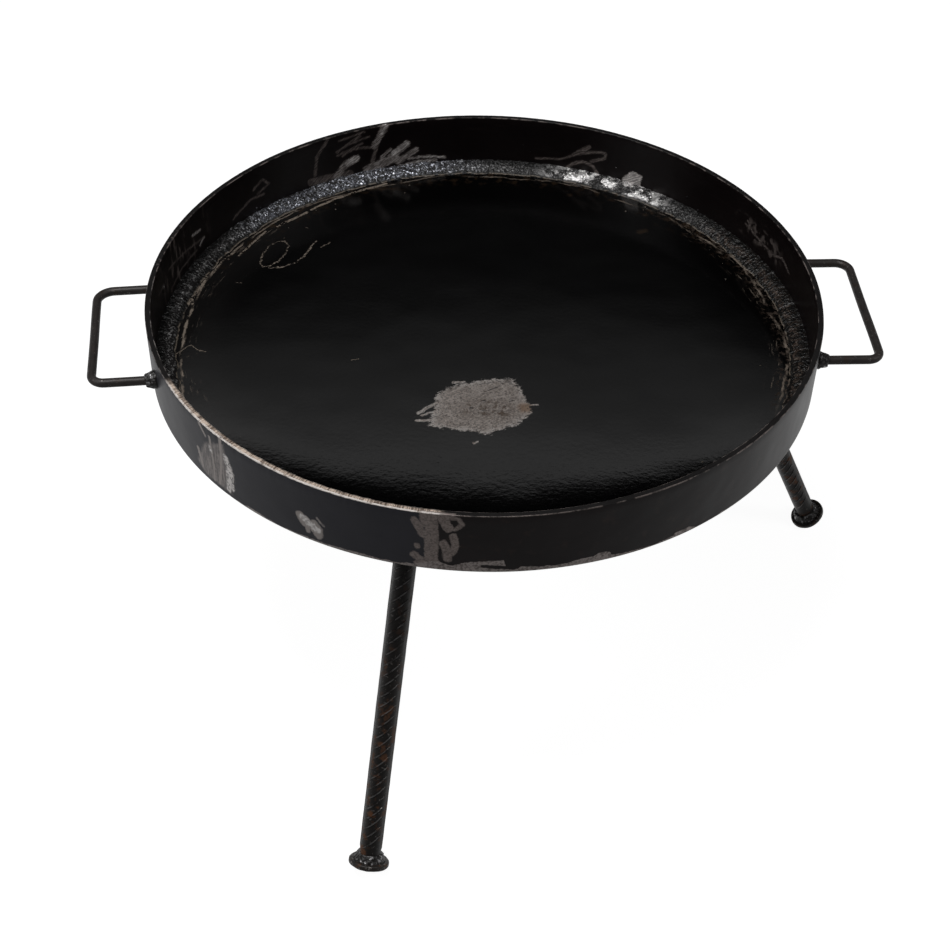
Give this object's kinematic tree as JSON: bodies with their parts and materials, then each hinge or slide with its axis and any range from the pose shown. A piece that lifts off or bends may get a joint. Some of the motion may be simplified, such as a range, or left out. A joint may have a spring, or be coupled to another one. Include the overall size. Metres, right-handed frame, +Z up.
{
  "type": "fire pit",
  "caption": "Shallow round fire pan of welded black steel with an upright rim, U-shaped rod handles at its sides and leaning ribbed-bar legs on round disc feet.",
  "frame": {"origin": "on the ground, on the axis of the round pan", "axes": "+Z up along the pan's axis; +X to the right, towards the right handle; -Y to the front, where the front leg stands"},
  "size_m": [0.7276, 0.6748, 0.375],
  "materials": {
    "plate_steel": "hot-rolled plate with dark oiled mill scale, satin to glossy",
    "ground_steel": "weld ground flush, bare and scratched, dulled by a thin oxide film",
    "weld_metal": "hand-laid weld bead, rippled, glossy grey oxide with tan heat tint",
    "handle_rod": "hot-rolled round rod, dark satin mill scale",
    "ribbed_bar": "reinforcing bar, dark mill scale with rust in the hollows",
    "foot_steel": "dark steel disc, worn and a little rusty"
  },
  "bodies": {
    "root": {"floor_plate": "plate_steel", "front_foot": "foot_steel", "front_foot_weld": "weld_metal", "front_leg": "ribbed_bar", "front_leg_weld": "weld_metal", "inner_floor_weld": "weld_metal", "left_foot": "foot_steel", "left_foot_weld": "weld_metal", "left_handle": "handle_rod", "left_handle_back_weld": "weld_metal", "left_handle_front_weld": "weld_metal", "left_leg": "ribbed_bar", "left_leg_weld": "weld_metal", "outer_corner_weld": "ground_steel", "right_foot": "foot_steel", "right_foot_weld": "weld_metal", "right_handle": "handle_rod", "right_handle_back_weld": "weld_metal", "right_handle_front_weld": "weld_metal", "right_leg": "ribbed_bar", "right_leg_weld": "weld_metal", "wall_ring": "plate_steel", "wall_seam_weld": "ground_steel"}
  },
  "joints": []
}
